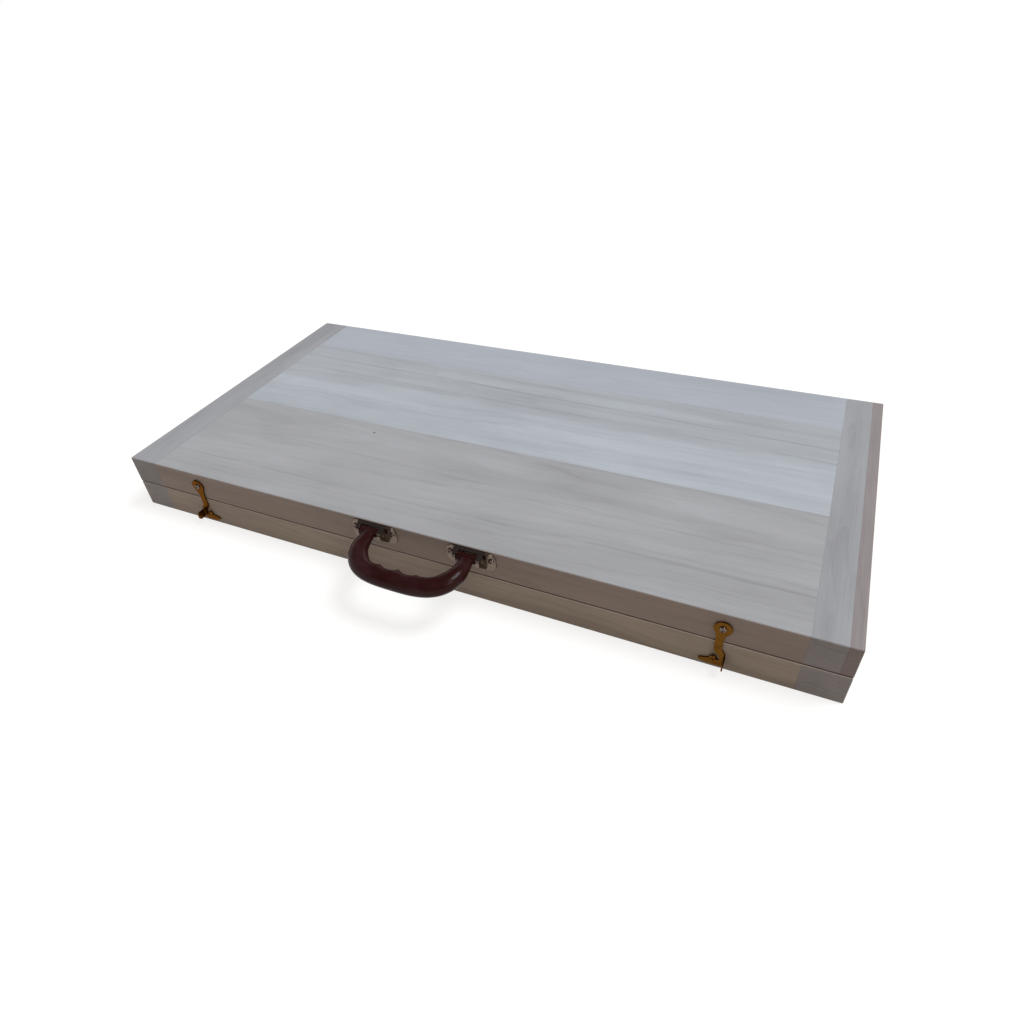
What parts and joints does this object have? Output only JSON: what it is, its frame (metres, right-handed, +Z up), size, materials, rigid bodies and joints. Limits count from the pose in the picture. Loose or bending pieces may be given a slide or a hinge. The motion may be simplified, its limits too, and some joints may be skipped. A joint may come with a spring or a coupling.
{
  "type": "folding disc-toss game board",
  "caption": "Folded wooden disc-toss game board: two framed plank boards hinged along the back, with a moulded carrying handle and hook catches on the front edge.",
  "frame": {"origin": "centre of the lower outer face that the folded board lies on", "axes": "+X along the length towards the right-hand hook, +Z up through the folded thickness, and the handle and hooks are on the -Y edge with the hinges on the +Y edge"},
  "size_m": [0.7, 0.4098, 0.06],
  "materials": {
    "board_wood": "bare sanded poplar, pale and slightly grey",
    "cleat_wood": "bare sanded poplar, grain across the planks",
    "edging_wood": "bare sanded poplar, pinker strip",
    "hinge_steel": "zinc-plated steel",
    "handle_plastic": "dark red-brown moulded plastic, semi-gloss",
    "saddle_nickel": "bright nickel-plated stamped steel",
    "hook_brass": "brass-plated stamped steel"
  },
  "bodies": {
    "lower_board": {"lower_front_plank": "board_wood", "lower_middle_plank": "board_wood", "lower_back_plank": "board_wood", "lower_left_cleat": "cleat_wood", "lower_right_cleat": "cleat_wood", "left_hinge_lower_leaf": "hinge_steel", "right_hinge_lower_leaf": "hinge_steel", "left_hinge_pin": "hinge_steel", "right_hinge_pin": "hinge_steel", "lower_hinge_screws": "hinge_steel", "catch_screws": "hook_brass"},
    "upper_board": {"upper_front_plank": "board_wood", "upper_middle_plank": "board_wood", "upper_back_plank": "board_wood", "upper_left_cleat": "cleat_wood", "upper_right_cleat": "cleat_wood", "upper_right_edging": "edging_wood", "left_hinge_upper_leaf": "hinge_steel", "right_hinge_upper_leaf": "hinge_steel", "upper_hinge_screws": "hinge_steel", "left_handle_saddle": "saddle_nickel", "right_handle_saddle": "saddle_nickel", "handle_pins": "saddle_nickel", "saddle_screws": "saddle_nickel", "hook_pivot_screws": "saddle_nickel"},
    "handle": {"handle_grip": "handle_plastic"},
    "right_hook": {"right_hook": "hook_brass"},
    "left_hook": {"left_hook": "hook_brass"}
  },
  "joints": [
    {"name": "board_fold", "type": "hinge", "parent": "lower_board", "child": "upper_board", "pos_m": [0, 0.17525, 0.03], "axis": [-1, 0, 0], "range_deg": [0, 180]},
    {"name": "handle_swing", "type": "hinge", "parent": "upper_board", "child": "handle", "pos_m": [-0.0007, -0.1813, 0.0529], "axis": [1, 0, 0], "range_deg": [-55, 74]},
    {"name": "right_hook_swing", "type": "hinge", "parent": "upper_board", "child": "right_hook", "pos_m": [0.2575, -0.1763, 0.0455], "axis": [0, -1, 0], "range_deg": [0, 180]},
    {"name": "left_hook_swing", "type": "hinge", "parent": "upper_board", "child": "left_hook", "pos_m": [-0.262, -0.1763, 0.0455], "axis": [0, 1, 0], "range_deg": [0, 180]}
  ]
}
